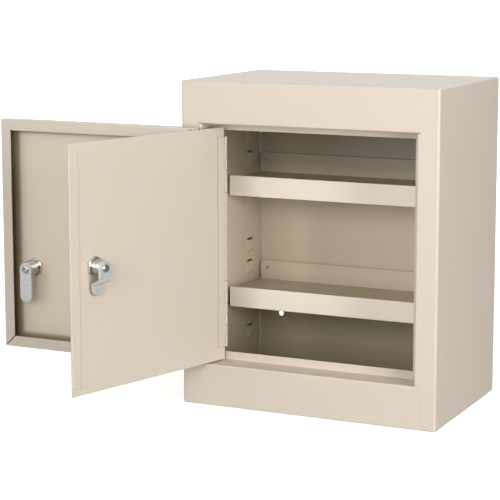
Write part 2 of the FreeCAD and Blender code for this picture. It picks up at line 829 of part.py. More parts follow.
def lock_plug(label, frame, length):
    """The part that the key turns: head with keyway, shank, square drive and a tapped rear end."""
    body = new_body(label, frame)
    profile = sketch_on(body, label + "_profile", "XZ_Plane")
    step_z = s.plug_head_height - s.lock_bezel_height - s.plug_clearance
    outline(profile, [
        (0, -s.lock_bezel_height),
        (s.plug_head_radius, -s.lock_bezel_height),
        (s.plug_head_radius, step_z),
        (s.plug_radius, step_z),
        (s.plug_radius, length),
        (0, length),
    ])
    turned(body, profile)
    drive = sketch_on(body, label + "_drive", "XY_Plane", length)
    half = s.drive_width / 2
    rectangle(drive, -half, half, -half, half)
    pad(body, drive, s.cam_gauge)
    keyway = sketch_on(body, label + "_keyway", "XY_Plane", -s.lock_bezel_height)
    half_slot = s.keyway_width / 2
    rectangle(keyway, -half_slot, half_slot, -s.keyway_length / 2, s.keyway_length / 2)
    pocket(body, keyway, s.keyway_depth, along_normal=True)
    tapping = sketch_on(body, label + "_tapping", "XY_Plane", length + s.cam_gauge)
    circle(tapping, 0, 0, s.screw_shank_radius + s.screw_clearance)
    pocket(body, tapping, s.screw_length + s.screw_clearance)


def cam_hole(sketch):
    half = s.drive_width / 2 + s.plug_clearance
    rectangle(sketch, -half, half, -half, half)


def outer_lock_cam():
    """A straight flat bar that hangs from the drive, with a rounded head and tip."""
    body = new_body("outer_lock_cam", outer_lock)
    bar = sketch_on(body, "outer_cam_outline", "XY_Plane", s.outer_lock_length)
    half = s.outer_cam_width / 2
    outline(bar, [
        (-half, -s.outer_cam_head, s.cam_head_round),
        (half, -s.outer_cam_head, s.cam_head_round),
        (half, s.outer_cam_reach, s.cam_tip_round),
        (-half, s.outer_cam_reach, s.cam_tip_round),
    ])
    cam_hole(bar)
    pad(body, bar, s.cam_gauge)


def inner_lock_cam():
    """A joggled bar: flat at the drive, bent towards the door, then flat again behind the stop lip."""
    body = new_body("inner_lock_cam", inner_lock)
    section = sketch_on(body, "inner_cam_section", "YZ_Plane")
    seat = s.inner_lock_length
    tip = seat - s.inner_cam_joggle
    wall = s.cam_gauge * JOGGLE_WALL_SHARE
    outline(section, [
        (-s.inner_cam_head, seat),
        (s.inner_cam_knee, seat),
        (s.inner_cam_toe, tip),
        (s.inner_cam_reach, tip),
        (s.inner_cam_reach, tip + s.cam_gauge),
        (s.inner_cam_toe + wall, tip + s.cam_gauge),
        (s.inner_cam_knee + wall, seat + s.cam_gauge),
        (-s.inner_cam_head, seat + s.cam_gauge),
    ])
    strip = pad(body, section, s.inner_cam_width, symmetric=True)

    def corner_at(y):
        def at_corner(edge):
            at_end = all(near(abs(p.x), s.inner_cam_width / 2) and near(p.y, y) for p in ends(edge))
            return at_end and near(edge.Length, s.cam_gauge)

        return at_corner

    head = rounded(body, strip, s.cam_head_round, corner_at(-s.inner_cam_head))
    rounded(body, head, s.cam_tip_round, corner_at(s.inner_cam_reach))
    hole = sketch_on(body, "inner_cam_hole", "XY_Plane", seat + s.cam_gauge + s.cut_overrun)
    cam_hole(hole)
    pocket(body, hole, s.cam_gauge + s.cut_overrun * 2)


def lock_screw(label, frame, length):
    """The screw that holds the cam on its drive, with a cross recess."""
    body = new_body(label, frame)
    profile = sketch_on(body, label + "_profile", "XZ_Plane")
    seat = length + s.cam_gauge
    outline(profile, [
        (0, seat - s.screw_length),
        (s.screw_shank_radius, seat - s.screw_length),
        (s.screw_shank_radius, seat),
        (s.screw_head_radius, seat),
        (s.screw_head_radius, seat + s.screw_head_height, s.screw_head_round),
        (0, seat + s.screw_head_height),
    ])
    turned(body, profile)
    recess = sketch_on(body, label + "_recess", "XY_Plane", seat + s.screw_head_height)
    far = s.screw_recess_length / 2
    near_side = s.screw_recess_width / 2
    quarter = [(far, -near_side), (far, near_side), (near_side, near_side)]
    corners = list(quarter)
    for _ in range(3):
        quarter = [(-y, x) for x, y in quarter]
        corners += quarter
    outline(recess, corners)
    pocket(body, recess, s.screw_recess_depth)


def cam_lock(name, frame, gauge, length):
    lock_body(name + "_lock_body", frame, length)
    lock_nut(name + "_lock_nut", frame, gauge)
    lock_plug(name + "_lock_plug", frame, length)
    lock_screw(name + "_lock_screw", frame, length)


def check_and_write():
    """Stop on any failed feature, cut that removed nothing or faulty solid, then write every piece."""
    doc.recompute()
    for thing in doc.Objects:
        if "Invalid" in thing.State or "Error" in thing.State:
            raise RuntimeError("%s did not compute" % thing.Name)
        if thing.TypeId in ("PartDesign::Pocket", "PartDesign::Groove"):
            if thing.Shape.Volume >= thing.BaseFeature.Shape.Volume:
                raise RuntimeError("%s cut nothing" % thing.Name)
    for node in nodes:
        if node.Shape.isNull() or not node.Shape.isValid() or len(node.Shape.Solids) != 1:
            raise RuntimeError("%s is not one valid solid" % node.Label)
    for node in nodes:
        node.Shape.exportStep(os.path.join("parts", node.Label + ".step"))


folded_side("left_side", LEFT)
strike_slot(folded_side("right_side", RIGHT))
rail_panel("top_panel", at_top=True)
rail_panel("bottom_panel", at_top=False)
back_panel()
shelf_standard("left_shelf_standard", LEFT)
shelf_standard("right_shelf_standard", RIGHT)
shelf("lower_shelf", s.lower_shelf_step_count)
shelf("upper_shelf", s.upper_shelf_step_count)
outer_hinge()
inner_hinge()
outer_door_pan()
inner_door_panel()
cam_lock("outer", outer_lock, s.sheet_gauge, s.outer_lock_length)
outer_lock_cam()
cam_lock("inner", inner_lock, s.inner_door_gauge, s.inner_lock_length)
inner_lock_cam()
check_and_write()
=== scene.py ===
"""Looks of a wall-mounted steel medicine cabinet: paint, plating, seams, slits and threads on its CAD frame."""
import json
import math

import bmesh
import bpy
from mathutils import Matrix, Vector


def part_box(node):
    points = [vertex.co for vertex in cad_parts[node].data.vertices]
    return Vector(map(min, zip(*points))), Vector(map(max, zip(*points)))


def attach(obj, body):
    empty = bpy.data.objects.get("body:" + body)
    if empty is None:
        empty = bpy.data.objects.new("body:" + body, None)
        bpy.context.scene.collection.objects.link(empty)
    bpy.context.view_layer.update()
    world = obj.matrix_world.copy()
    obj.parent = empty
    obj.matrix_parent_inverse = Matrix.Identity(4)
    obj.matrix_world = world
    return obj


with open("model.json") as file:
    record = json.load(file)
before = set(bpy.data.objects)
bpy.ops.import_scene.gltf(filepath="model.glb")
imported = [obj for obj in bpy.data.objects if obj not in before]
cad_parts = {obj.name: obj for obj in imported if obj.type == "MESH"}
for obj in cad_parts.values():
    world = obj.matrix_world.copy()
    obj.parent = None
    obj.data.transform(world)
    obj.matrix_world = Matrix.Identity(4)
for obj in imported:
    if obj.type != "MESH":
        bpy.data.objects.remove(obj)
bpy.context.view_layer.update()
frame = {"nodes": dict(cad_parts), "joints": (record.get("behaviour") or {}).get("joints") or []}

bl_info = {
    "name": "Medicine Cabinet Finish",
    "version": (1, 0, 0),
    "blender": (4, 5, 0),
    "location": "View3D > Sidebar > Cabinet",
    "description": "Powder coat, plated locks, painted seams, slits and threads of a steel medicine cabinet",
    "category": "Object",
}

MM = 0.001

BOX_SHEETS = ("left_side", "right_side", "top_panel", "bottom_panel")
STANDARDS = ("left_shelf_standard", "right_shelf_standard")
SHELVES = ("upper_shelf", "lower_shelf")
HINGE_LEAVES = (
    "outer_hinge_frame_leaf", "outer_hinge_door_leaf",
    "inner_hinge_frame_leaf", "inner_hinge_door_leaf",
)
HINGE_PINS = ("outer_hinge_pin", "inner_hinge_pin")
NICKEL_LOCK_PARTS = ("body", "nut", "plug", "screw")

# The sides of the box, with the sign of their X.
HANDS = (("left", -1), ("right", 1))

# Each lock, with the length of its barrel and the place on it where its nut ends.
LOCKS = {"outer": (19.7 * MM, 5.2 * MM), "inner": (15.7 * MM, 4.9 * MM)}
BARREL_RADIUS = 8.0 * MM

# The lances of the shelf standards: the face that they stand on, their place in depth, the top of the lowest,
# the distance from one to the next, and the steps of the row where a lance holds no shelf tab.
STANDARD_FACE_X = 0.1502
LANCE_Y = 0.070
LOWEST_LANCE = 56 * MM
LANCE_PITCH = 26.75 * MM
FREE_LANCE_STEPS = (0, 1, 3, 4, 6, 8, 9)
# The slits hold thin dark almonds of painted shade; this is their thickness.
SLIT_DEPTH = 0.08 * MM

# The outer door's pan: its sheet, the width of its inward flange, and the open mitre in each flange corner.
SHEET_GAUGE = 1.2 * MM
PAN_FLANGE = 12.5 * MM
MITRE_GAP = 0.8 * MM

# Distances from the pan's edges, beyond the flange, between which its inner face goes from painted shade to a
# painted lighter tone.
PAN_SHADE_FULL = PAN_FLANGE - 1 * MM
PAN_SHADE_END = PAN_FLANGE + 5.5 * MM

# Ramps of paint have an axis, or |X| for both sides alike, and the places where they start and are complete.
# The box's inside starts within the sides, behind the window's stop lips, and within the back, bottom and top.
# There the coat takes painted light and painted shade by height.
BOX_INSIDE = (
    ("|X|", 0.1522, 0.1514),
    ("Y", -0.0705, -0.0660),
    ("Y", 0.1005, 0.0998),
    ("Z", 0.0004, 0.0011),
    ("Z", 0.3679, 0.3672),
)
# The back and the standards take the same painted light and shade by height on their inner faces.
BACK_INSIDE = (("Y", 0.1002, 0.0995),)
STANDARD_INSIDE = (("|X|", 0.1518, 0.1508),)
# The shelves behind their front lips, which are painted lighter as light.
BEHIND_SHELF_LIP = (("Y", 0.0095, 0.0120),)

# The rear half of the box, where the corner seams lie as a whole, and where they take painted light and shade by
# height.
REAR_HALF = (("Y", 0.0, 0.01),)

# Heights inside the box between which the powder reaches the walls well through the door window, and the walls go
# from a thinner olive coat with painted shade above and below to painted light between.
PAINTED_LIGHT_HEIGHTS = (("Z", 0.088, 0.128), ("Z", 0.262, 0.222))

# Distances before a shelf's back, and below its top, between which the painted shade line of its upstand sets in.
UPSTAND_SHADE_BEFORE = (5 * MM, 3 * MM)
UPSTAND_SHADE_BELOW = (6.9 * MM, 6 * MM)

# How squarely a softened normal still faces along its sheet where the painted tone of an edge starts to show, and
# where it is plain;
# the tone is a painted highlight, and painted gap shade on the hinge leaves.
EDGE_FACING = (0.985, 0.80)

# How far the orange peel moves the coat's roughness to either side.
GLOSS_SPREAD = 0.05

# Plated metal: how many marks wide its clouds are, and how much lighter and how fully its rims are rubbed.
CLOUD_IN_MARKS = 8
RUBBED_GAIN = 1.3
RUBBED_SHARE = 0.8

# The studio floor: half its width, its cells each way, and how far under the cabinet it lies.
FLOOR_HALF = 30
FLOOR_CELLS = 8
FLOOR_DROP = 0.5 * MM

# The tooth of the floor's paper, drawn coarser than it is because it would be too fine to show.
PAPER_TOOTH = 2.5 * MM

# Distances from the cabinet between which the floor's own light grows, and its strength from there on.
FLOOR_GLOW_RADII = (0.5, 1.8)
FAR_FLOOR_GLOW = 1.1

# Each soft light's side in metres, and its azimuth and elevation in degrees as seen from the target.
SOFT_LIGHTS = {"key": (0.9, 6, 14), "side": (1.0, 60, 8), "fill": (1.0, -28, 7)}
LIGHT_TARGET = Vector((-0.03, -0.05, 0.19))
LIGHT_DISTANCE = 2.0

# The directions that each surface of the room sends its light from, as ramps.
ROOM_LIGHTS = {
    "backdrop_light": (("Y", 0.5, 0.85), ("Z", -0.06, 0.06)),
    "ceiling_light": (("Z", 0.3, 0.9),),
    "wall_light": (("X", -0.35, -0.8),),
    "bounce_light": (("Z", -0.1, -0.3),),
}

# The camera, fitted to the photograph: its place in metres, its turns in degrees, and its lens in millimetres.
CAMERA_PLACE = Vector((0.7389, -1.7813, 0.5031))
CAMERA_YAW = 25.1302
CAMERA_PITCH = 8.7547
CAMERA_SENSOR = 36
CAMERA_LENS = 122.622
CAMERA_SHIFT = (-0.03, -0.06)


def linear(code):
    """An sRGB hex colour as the linear red, green and blue that shaders take."""
    shares = [int(code[i:i + 2], 16) / 255 for i in (1, 3, 5)]
    return tuple(c / 12.92 if c <= 0.04045 else ((c + 0.055) / 1.055) ** 2.4 for c in shares)


def opaque(colour):
    """A colour with full alpha."""
    return (*colour, 1.0)


# Settings that a user would change


class PaintSettings(bpy.types.PropertyGroup):
    """The powder coat, as it is sprayed on the outside and as it thins out inside the box, with painted light and
    shade by height there and on the outer door's inner face, and painted highlights and gap shade along edges.
    """

    coat_colour: bpy.props.FloatVectorProperty(
        name="Coat", description="Beige powder coat where it is fully built up",
        subtype="COLOR", size=3, min=0, max=1, default=linear("#C5BAAC"))
    warm_colour: bpy.props.FloatVectorProperty(
        name="Warm drift", description="Slightly pinker tone that the coat drifts to",
        subtype="COLOR", size=3, min=0, max=1, default=linear("#C4B7A8"))
    # Painted light: the shelf lips are painted lighter than the coat, as lit.
    painted_light_lip_colour: bpy.props.FloatVectorProperty(
        name="Shelf lips", description="Lighter tone of the coat on the front lips of the shelves",
        subtype="COLOR", size=3, min=0, max=1, default=linear("#F6EDDF"))
    # Painted light: the inside is painted lighter level with the middle of the door window.
    painted_light_inside_colour: bpy.props.FloatVectorProperty(
        name="Inside", description="Tone of the coat inside the box, level with the middle of the door window",
        subtype="COLOR", size=3, min=0, max=1, default=linear("#D7C8B3"))
    # A thinner olive coat and painted shade, behind the header and the sill.
    painted_shade_thin_colour: bpy.props.FloatVectorProperty(
        name="Thin coat", description="Olive tone where little powder reaches, as behind the header and the sill",
        subtype="COLOR", size=3, min=0, max=1, default=linear("#A1957F"))
    # Painted light: the outer door's inner face is painted lighter than the coat.
    pan_colour: bpy.props.FloatVectorProperty(
        name="Door inside", description="Tone of the coat on the inner face of the outer door",
        subtype="COLOR", size=3, min=0, max=1, default=linear("#D3C5B2"))
    # Painted shade: the outer door's inner face is painted dark under its flange.
    painted_shade_hollow_colour: bpy.props.FloatVectorProperty(
        name="Door hollow", description="Tone where least powder reaches, under the flange of the outer door",
        subtype="COLOR", size=3, min=0, max=1, default=linear("#8A7D66"))
    # Painted highlight along bends and cut edges.
    painted_highlight_edge_colour: bpy.props.FloatVectorProperty(
        name="Edges", description="Lighter tone where the coat is drawn up along bends and cut edges",
        subtype="COLOR", size=3, min=0, max=1, default=linear("#E8DDCD"))
    # Painted shade: dark gap shade along the hinge leaves' edges and the shelf upstands' tops.
    painted_gap_shade_colour: bpy.props.FloatVectorProperty(
        name="Dark edges", description="Dark tone where paint runs back from hinge leaves and shelf upstands",
        subtype="COLOR", size=3, min=0, max=1, default=linear("#4E4436"))
    # Painted shade: a dark tone for the almonds laid in the open top of each free lance, where only shade is.
    painted_slit_shade_colour: bpy.props.FloatVectorProperty(
        name="Slits", description="Dark sheared edge in the open top of each free lance",
        subtype="COLOR", size=3, min=0, max=1, default=linear("#241D14"))
    peel_size: bpy.props.FloatProperty(
        name="Orange peel", description="Width of the coat's fine ripples",
        subtype="DISTANCE", unit="LENGTH", min=0.0002, max=0.01, default=1.6 * MM, precision=5)
    drift_size: bpy.props.FloatProperty(
        name="Drift", description="Width of the slow changes of tone across a sheet",
        subtype="DISTANCE", unit="LENGTH", min=0.01, max=1, default=70 * MM)
    edge_width: bpy.props.FloatProperty(
        name="Edge", description="Width of the softened edge of the painted sheet",
        subtype="DISTANCE", unit="LENGTH", min=0, max=0.01, default=0.8 * MM, precision=5)
    roughness: bpy.props.FloatProperty(
        name="Roughness", description="Satin gloss of the coat", subtype="FACTOR", min=0, max=1, default=0.38)


class PlatingSettings(bpy.types.PropertyGroup):
    """The plated metal of the cam locks and the bare wire of the hinge pins."""

    zinc_colour: bpy.props.FloatVectorProperty(
        name="Zinc", description="Tumbled zinc plate of the stamped cams",
        subtype="COLOR", size=3, min=0, max=1, default=linear("#DCDEDB"))
    nickel_colour: bpy.props.FloatVectorProperty(
        name="Nickel", description="Bright nickel of the barrels, nuts, plugs and screws",
        subtype="COLOR", size=3, min=0, max=1, default=linear("#DAD9D6"))
    wire_colour: bpy.props.FloatVectorProperty(
        name="Wire", description="Drawn steel of the hinge pins",
        subtype="COLOR", size=3, min=0, max=1, default=linear("#B4B1AB"))
    scratch_size: bpy.props.FloatProperty(
        name="Tumbling marks", description="Width of the fine marks on the cams",
        subtype="DISTANCE", unit="LENGTH", min=0.0001, max=0.01, default=0.5 * MM, precision=5)


class SeamSettings(bpy.types.PropertyGroup):
    """The paint in the rear corners, the painted shade of the slits above the lances and the threads of the lock
    barrels.
    """

    bead_radius: bpy.props.FloatProperty(
        name="Corner seam", description="Hollow radius of the seam in each rear corner",
        subtype="DISTANCE", unit="LENGTH", min=0.0005, max=0.01, default=1.5 * MM, precision=5)
    bead_segments: bpy.props.IntProperty(
        name="Seam steps", description="Steps round the hollow of the corner seam", min=3, max=24, default=8)
    slit_length: bpy.props.FloatProperty(
        name="Slit length", description="Length of the dark slit above each free lance",
        subtype="DISTANCE", unit="LENGTH", min=0.001, max=0.03, default=15 * MM, precision=5)
    slit_height: bpy.props.FloatProperty(
        name="Slit height", description="Height of the dark slit above each free lance",
        subtype="DISTANCE", unit="LENGTH", min=0.0002, max=0.01, default=2.2 * MM, precision=5)
    thread_pitch: bpy.props.FloatProperty(
        name="Thread pitch", description="Distance between the turns of the barrel thread",
        subtype="DISTANCE", unit="LENGTH", min=0.0003, max=0.005, default=1.0 * MM, precision=5)
    thread_height: bpy.props.FloatProperty(
        name="Thread height", description="Height of the rolled thread above the barrel",
        subtype="DISTANCE", unit="LENGTH", min=0.00005, max=0.002, default=0.25 * MM, precision=6)


class StudioSettings(bpy.types.PropertyGroup):
    """The floor, the soft lights and the light of the room."""

    floor_colour: bpy.props.FloatVectorProperty(
        name="Floor", description="Pale studio floor",
        subtype="COLOR", size=3, min=0, max=1, default=linear("#F4F3F1"))
    floor_glow: bpy.props.FloatProperty(
        name="Floor glow", description="Own light of the floor, close to the cabinet", min=0, max=5, default=0.5)
    key_power: bpy.props.FloatProperty(
        name="Key", description="Soft light in front, above", unit="POWER", min=0, default=19)
    side_power: bpy.props.FloatProperty(
        name="Side", description="Soft light from the right of the camera", unit="POWER", min=0, default=38)
    fill_power: bpy.props.FloatProperty(
        name="Fill", description="Soft light from the left of the front", unit="POWER", min=0, default=8)
    backdrop_light: bpy.props.FloatProperty(
        name="Backdrop", description="Light of the white backdrop behind the cabinet", min=0, max=5, default=1.3)
    ceiling_light: bpy.props.FloatProperty(
        name="Ceiling", description="Light of the white ceiling", min=0, max=5, default=0.83)
    wall_light: bpy.props.FloatProperty(
        name="Wall", description="Light of the pale wall on the left", min=0, max=5, default=0.4)
    bounce_light: bpy.props.FloatProperty(
        name="Bounce", description="Light that comes up from the floor", min=0, max=5, default=0.33)


# Materials


def add(tree, kind, inputs=None, **settings):
    """Adds a node, sets its properties, and links or sets its inputs by their identifiers."""
    node = tree.nodes.new(kind)
    for name, value in settings.items():
        setattr(node, name, value)
    for name, value in (inputs or {}).items():
        socket = next(s for s in node.inputs if s.identifier == name)
        if isinstance(value, bpy.types.NodeSocket):
            tree.links.new(value, socket)
        else:
            socket.default_value = value
    return node


def new_surface(name):
    """A material with an empty tree, and its output node."""
    material = bpy.data.materials.new(name)
    material.use_nodes = True
    tree = material.node_tree
    tree.nodes.clear()
    return material, tree, tree.nodes.new("ShaderNodeOutputMaterial")


def wear(node, material):
    """Gives a CAD node this material in every slot."""
    mesh = frame["nodes"][node].data
    mesh.materials.clear()
    mesh.materials.append(material)


def inward_ramps(node, axes, start, end):
    """Ramps inwards from both ends of a CAD node's box, on each of these axes."""
    low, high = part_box(node)
    ramps = []
    for axis in axes:
        i = "XYZ".index(axis)
        ramps += [(axis, low[i] + start, low[i] + end), (axis, high[i] - start, high[i] - end)]
    return ramps


def reached(tree, place, ramps):
    """The product of ramps along the axes, each an axis with the places where it starts and is complete."""
    axes = add(tree, "ShaderNodeSeparateXYZ", {"Vector": place})
    product = None
    for axis, start, end in ramps:
        distance = axes.outputs[axis.strip("|")]
        if axis.startswith("|"):
            distance = add(tree, "ShaderNodeMath", {"Value": distance}, operation="ABSOLUTE").outputs[0]
        share = add(tree, "ShaderNodeMapRange", {
            "Value": distance, "From Min": start, "From Max": end}, interpolation_type="SMOOTHSTEP").outputs[0]
        product = share if product is None else add(
            tree, "ShaderNodeMath", {"Value": product, "Value_001": share}, operation="MULTIPLY").outputs[0]
    return product


def softened(tree, width, most):
    """The normal, rounded off within this width of an edge, and a share that grows to most on the edge."""
    soft = add(tree, "ShaderNodeBevel", {"Radius": width}, samples=6).outputs["Normal"]
    flat = add(tree, "ShaderNodeNewGeometry").outputs["True Normal"]
    facing = add(tree, "ShaderNodeVectorMath", {"Vector": soft, "Vector_001": flat}, operation="DOT_PRODUCT")
    share = add(tree, "ShaderNodeMapRange", {
        "Value": facing.outputs["Value"], "From Min": EDGE_FACING[0], "From Max": EDGE_FACING[1],
        "To Max": most})
    return soft, share.outputs[0]


def powder_coat(
        name, paint, base, inside=(), hollow=(), open_to=(), edge_tone=None, edge_share=0.6, painted_shade_edges=()):
    """Satin beige powder coat: fine orange peel, a slow drift of tone and a painted highlight along its edges.
    Where the inside ramps are complete it is the coat of the box's inside: painted light level with the middle of
    the door window, and thin, olive and painted shade behind the header and sill. Within the hollow ramps it is
    painted shade wherever the open ramps aren't complete, as under a flange, and painted light where they are.
    Where the ramps of the painted shade edges are complete, the edges are painted dark as gap shade."""
    material, tree, output = new_surface(name)
    place = add(tree, "ShaderNodeTexCoord").outputs["Object"]
    peel = add(tree, "ShaderNodeTexNoise", {
        "Vector": place, "Scale": 1 / paint.peel_size, "Detail": 2.0, "Roughness": 0.5}).outputs["Fac"]
    drift = add(tree, "ShaderNodeTexNoise", {
        "Vector": place, "Scale": 1 / paint.drift_size, "Detail": 3.0, "Roughness": 0.55}).outputs["Fac"]
    warmth = [warm / plain for warm, plain in zip(paint.warm_colour, paint.coat_colour)]
    colour = add(tree, "ShaderNodeMix", {
        "Factor_Float": drift, "A_Color": opaque(base),
        "B_Color": opaque([c * w for c, w in zip(base, warmth)])}, data_type="RGBA").outputs[2]
    # Painted light and shade: inside the box by height, over a thinner olive coat, and on the outer door's inner
    # face, dark under the flange.
    for lined, lit_ramps, thin, full in (
            (inside, PAINTED_LIGHT_HEIGHTS, paint.painted_shade_thin_colour, paint.painted_light_inside_colour),
            (hollow, open_to, paint.painted_shade_hollow_colour, paint.pan_colour)):
        if lined:
            lining = add(tree, "ShaderNodeMix", {
                "Factor_Float": reached(tree, place, lit_ramps), "A_Color": opaque(thin),
                "B_Color": opaque(full)}, data_type="RGBA").outputs[2]
            colour = add(tree, "ShaderNodeMix", {
                "Factor_Float": reached(tree, place, lined), "A_Color": colour, "B_Color": lining},
                data_type="RGBA").outputs[2]
    # Along its edges the coat takes the edge tone: a painted highlight, and painted gap shade on the hinge
    # leaves.
    soft, edge = softened(tree, paint.edge_width, edge_share)
    edge_paint = opaque(paint.painted_highlight_edge_colour if edge_tone is None else edge_tone)
    # Painted shade: the edges go dark where the ramps of the painted shade edges are complete, as along the shelf
    # upstands.
    if painted_shade_edges:
        edge_paint = add(tree, "ShaderNodeMix", {
            "Factor_Float": reached(tree, place, painted_shade_edges), "A_Color": edge_paint,
            "B_Color": opaque(paint.painted_gap_shade_colour)}, data_type="RGBA").outputs[2]
    colour = add(tree, "ShaderNodeMix", {
        "Factor_Float": edge, "A_Color": colour, "B_Color": edge_paint}, data_type="RGBA").outputs[2]
    gloss = add(tree, "ShaderNodeMapRange", {
        "Value": peel, "To Min": paint.roughness - GLOSS_SPREAD, "To Max": paint.roughness + GLOSS_SPREAD})
    ripple = add(tree, "ShaderNodeBump", {
        "Height": peel, "Strength": 0.25, "Distance": 0.03 * MM, "Normal": soft})
    shader = add(tree, "ShaderNodeBsdfPrincipled", {
        "Base Color": colour, "Roughness": gloss.outputs[0], "Normal": ripple.outputs[0], "IOR": 1.5})
    tree.links.new(shader.outputs[0], output.inputs["Surface"])
    return material


def plated_metal(name, colour, smooth, rough, mark_size, stretch=1, bare=1.0, rim=0.3 * MM, mottle=0.88):
    """Plated metal: a clear reflection that fine marks along the piece break up and cloud, with rubbed, lighter
    rims. Where bare is under one, a dull passive film scatters the rest of the light."""
    material, tree, output = new_surface(name)
    place = add(tree, "ShaderNodeTexCoord").outputs["Object"]
    along = add(tree, "ShaderNodeMapping", {"Vector": place, "Scale": (1, 1, 1 / stretch)})
    marks = add(tree, "ShaderNodeTexNoise", {
        "Vector": along.outputs[0], "Scale": 1 / mark_size, "Detail": 4.0, "Roughness": 0.6}).outputs["Fac"]
    cloud = add(tree, "ShaderNodeTexNoise", {
        "Vector": place, "Scale": 1 / (mark_size * CLOUD_IN_MARKS), "Detail": 2.0}).outputs["Fac"]
    tone = add(tree, "ShaderNodeMix", {
        "Factor_Float": cloud, "A_Color": opaque(colour),
        "B_Color": opaque([c * mottle for c in colour])}, data_type="RGBA")
    gloss = add(tree, "ShaderNodeMapRange", {"Value": marks, "To Min": smooth, "To Max": rough})
    soft, rubbed = softened(tree, rim, RUBBED_SHARE)
    tone = add(tree, "ShaderNodeMix", {
        "Factor_Float": rubbed, "A_Color": tone.outputs[2],
        "B_Color": opaque([min(1.0, c * RUBBED_GAIN) for c in colour])}, data_type="RGBA")
    scratch = add(tree, "ShaderNodeBump", {
        "Height": marks, "Strength": 0.15, "Distance": 0.02 * MM, "Normal": soft})
    shader = add(tree, "ShaderNodeBsdfPrincipled", {
        "Base Color": tone.outputs[2], "Metallic": bare, "Roughness": gloss.outputs[0],
        "Normal": scratch.outputs[0]})
    tree.links.new(shader.outputs[0], output.inputs["Surface"])
    return material


def studio_paper(studio):
    """Matte white paper lit through from below, so that the floor stays pale under the cabinet."""
    material, tree, output = new_surface("matte_studio_paper")
    place = add(tree, "ShaderNodeTexCoord").outputs["Object"]
    grain = add(tree, "ShaderNodeTexNoise", {"Vector": place, "Scale": 1 / PAPER_TOOTH, "Detail": 2.0})
    away = add(tree, "ShaderNodeVectorMath", {"Vector": place}, operation="LENGTH")
    glow = add(tree, "ShaderNodeMapRange", {
        "Value": away.outputs["Value"], "From Min": FLOOR_GLOW_RADII[0], "From Max": FLOOR_GLOW_RADII[1],
        "To Min": studio.floor_glow, "To Max": FAR_FLOOR_GLOW}, interpolation_type="SMOOTHSTEP")
    tooth = add(tree, "ShaderNodeBump", {
        "Height": grain.outputs["Fac"], "Strength": 0.05, "Distance": 0.1 * MM})
    shader = add(tree, "ShaderNodeBsdfPrincipled", {
        "Base Color": opaque(studio.floor_colour), "Roughness": 0.95, "Specular IOR Level": 0.0,
        "Emission Color": opaque(studio.floor_colour), "Emission Strength": glow.outputs[0],
        "Normal": tooth.outputs[0]})
    tree.links.new(shader.outputs[0], output.inputs["Surface"])
    return material


# Pieces


def piece(name, mesh, material, body):
    """A finished piece at the origin, with its place in its mesh, riding on its body."""
    mesh.name = name
    mesh.materials.clear()
    mesh.materials.append(material)
    thing = bpy.data.objects.new(name, mesh)
    bpy.context.scene.collection.objects.link(thing)
    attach(thing, body)


def prism_mesh(ends):
    """A closed prism between two outlines with the same number of points, its faces outwards."""
    shape = bmesh.new()
    first, last = [[shape.verts.new(point) for point in end] for end in ends]
    for i in range(len(first)):
        j = (i + 1) % len(first)
        shape.faces.new((first[i], first[j], last[j], last[i]))
    shape.faces.new(first)
    shape.faces.new(last)
    bmesh.ops.recalc_face_normals(shape, faces=shape.faces)
    mesh = bpy.data.meshes.new("prism")
    shape.to_mesh(mesh)
    shape.free()
    return mesh


def bead_mesh(wall_x, back_y, low, high, radius, steps):
    """A seam of hollow section in the corner between a side wall and the back, from floor to ceiling."""
    inwards = -1 if wall_x > 0 else 1
    centre_x, centre_y = wall_x + inwards * radius, back_y - radius
    section = [(wall_x, back_y)]
    for i in range(steps + 1):
        turn = math.pi / 2 * i / steps
        section.append((centre_x - inwards * radius * math.cos(turn), centre_y + radius * math.sin(turn)))
    return prism_mesh([[(x, y, z) for x, y in section] for z in (low, high)])


def new_geometry(name, inputs):
    """A geometry tree with these named inputs, their sockets' identifiers, and the outputs that give them."""
    tree = bpy.data.node_groups.new(name, "GeometryNodeTree")
    sockets = {}
    for label, kind in inputs.items():
        sockets[label] = tree.interface.new_socket(
            label, in_out="INPUT", socket_type="NodeSocket" + kind).identifier
    tree.interface.new_socket("Geometry", in_out="OUTPUT", socket_type="NodeSocketGeometry")
    return tree, sockets, add(tree, "NodeGroupInput").outputs


def end_geometry(tree, geometry, material):
    """Ends a geometry tree with real meshes that wear this material."""
    real = add(tree, "GeometryNodeRealizeInstances", {"Geometry": geometry})
    worn = add(tree, "GeometryNodeSetMaterial", {"Geometry": real.outputs[0], "Material": material})
    add(tree, "NodeGroupOutput", {tree.interface.items_tree["Geometry"].identifier: worn.outputs[0]})


def thread_tree():
    """Geometry nodes of a rolled thread: a ridge swept along a helix, laid in the frame of its barrel."""
    tree, sockets, given = new_geometry("barrel_thread", {
        "Radius": "Float", "Pitch": "Float", "Turns": "Float", "Height": "Float", "Place": "Vector",
        "Tilt": "Vector", "Metal": "Material"})
    length = add(tree, "ShaderNodeMath", {
        "Value": given["Pitch"], "Value_001": given["Turns"]}, operation="MULTIPLY")
    helix = add(tree, "GeometryNodeCurveSpiral", {
        "Resolution": 40, "Rotations": given["Turns"], "Start Radius": given["Radius"],
        "End Radius": given["Radius"], "Height": length.outputs[0]})
    ridge = add(tree, "GeometryNodeCurvePrimitiveCircle", {"Resolution": 6, "Radius": given["Height"]})
    swept = add(tree, "GeometryNodeCurveToMesh", {
        "Curve": helix.outputs[0], "Profile Curve": ridge.outputs[0], "Fill Caps": True})
    laid = add(tree, "GeometryNodeTransform", {
        "Geometry": swept.outputs[0], "Translation": given["Place"], "Rotation": given["Tilt"]})
    end_geometry(tree, laid.outputs[0], given["Metal"])
    return tree, sockets


